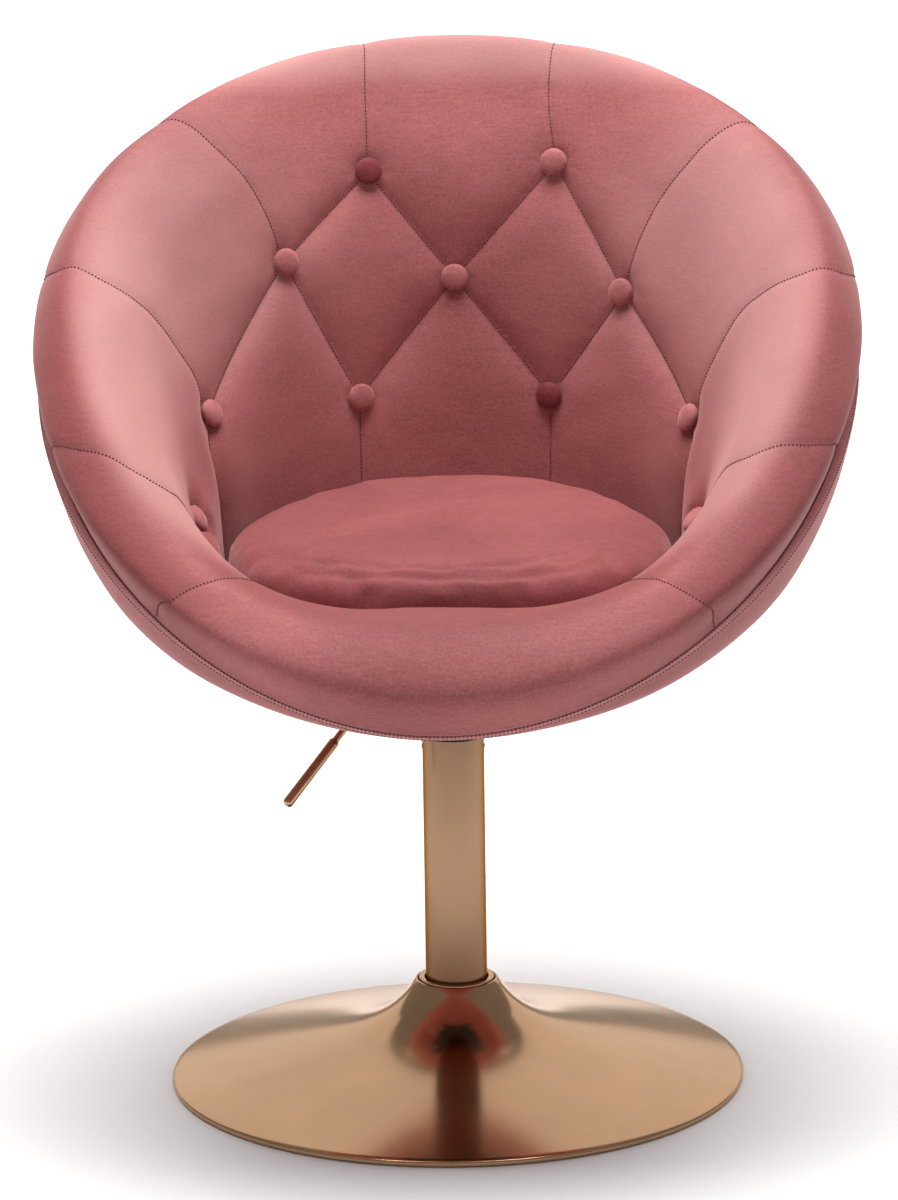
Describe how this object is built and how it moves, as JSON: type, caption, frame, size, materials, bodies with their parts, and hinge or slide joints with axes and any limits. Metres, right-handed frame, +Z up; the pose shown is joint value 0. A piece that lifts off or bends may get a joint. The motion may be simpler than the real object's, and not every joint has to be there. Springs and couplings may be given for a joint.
{
  "type": "styling chair",
  "caption": "Tufted velvet bucket chair that swivels on a gas lift column with a lever, above a round trumpet base.",
  "frame": {"origin": "on the floor, on the column's axis, with the seat at its lowest height", "axes": "+Z up; -Y is the way the sitter faces; -X is the side of the lever, the sitter's right"},
  "size_m": [0.6644, 0.636, 0.831],
  "materials": {
    "velvet": "dusty rose velvet with a short directional pile, lighter where the pile leans away",
    "rose_gold": "satin rose gold plating on steel, finely brushed",
    "zinc_steel": "bright zinc plate",
    "black_steel": "black powder coat, slightly textured",
    "cast_iron": "rough grey iron, painted black",
    "nylon": "black nylon, smooth",
    "rubber": "black, matt",
    "plywood": "birch plywood, raw",
    "foam": null
  },
  "bodies": {
    "base": {"base_cover": "rose_gold", "base_weight": "cast_iron", "floor_ring": "rubber", "neck_ring": "rose_gold", "base_washer": "zinc_steel", "base_bolt": "zinc_steel", "column_tube": "rose_gold", "column_plug": "zinc_steel", "guide_bush": "nylon", "bush_screw_1": "zinc_steel", "bush_screw_2": "zinc_steel", "thrust_race_lower": "zinc_steel", "thrust_ball_cage": "zinc_steel"},
    "spindle": {"thrust_race_upper": "zinc_steel", "piston_rod": "zinc_steel", "rod_clip": "zinc_steel", "bump_stop": "rubber", "piston_head": "nylon"},
    "seat": {"gas_cylinder": "black_steel", "cylinder_gland": "nylon", "valve_body": "zinc_steel", "taper_socket": "black_steel", "mechanism_pan": "black_steel", "mechanism_bolt_1": "zinc_steel", "mechanism_bolt_2": "zinc_steel", "mechanism_bolt_3": "zinc_steel", "mechanism_bolt_4": "zinc_steel", "seat_board": "plywood", "t_nut_1": "zinc_steel", "t_nut_2": "zinc_steel", "t_nut_3": "zinc_steel", "t_nut_4": "zinc_steel", "pivot_bracket": "zinc_steel", "pivot_pin": "zinc_steel", "bowl_shell": "velvet", "inner_upholstery": "velvet", "edge_binding": "velvet", "seat_foam": "foam", "seat_cushion": "velvet", "tuft_button_1": "velvet", "tuft_button_2": "velvet", "tuft_button_3": "velvet", "tuft_button_4": "velvet", "tuft_button_5": "velvet", "tuft_button_6": "velvet", "tuft_button_7": "velvet", "tuft_button_8": "velvet", "tuft_button_9": "velvet", "tuft_button_10": "velvet", "tuft_button_11": "velvet"},
    "lever": {"lever_rod": "rose_gold", "lever_grip": "rose_gold"},
    "pin": {"release_pin": "zinc_steel"}
  },
  "joints": [
    {"name": "seat_swivel", "type": "hinge", "parent": "base", "child": "spindle", "pos_m": [0, 0, 0.05], "axis": [0, 0, 1], "continuous": true},
    {"name": "height_lift", "type": "slide", "parent": "spindle", "child": "seat", "axis": [0, 0, 1], "range_m": [0, 0.12]},
    {"name": "lever_pull", "type": "hinge", "parent": "seat", "child": "lever", "pos_m": [-0.035, 0, 0.3297], "axis": [0, 1, 0], "range_deg": [0, 7], "stiffness_Nm_per_rad": 5, "springref_deg": -1.15},
    {"name": "valve_press", "type": "slide", "parent": "seat", "child": "pin", "axis": [0, 0, -1], "range_m": [0, 0.005]}
  ],
  "couplings": [
    {"joint": "valve_press", "follows": "lever_pull", "m_per_rad": 0.035}
  ]
}
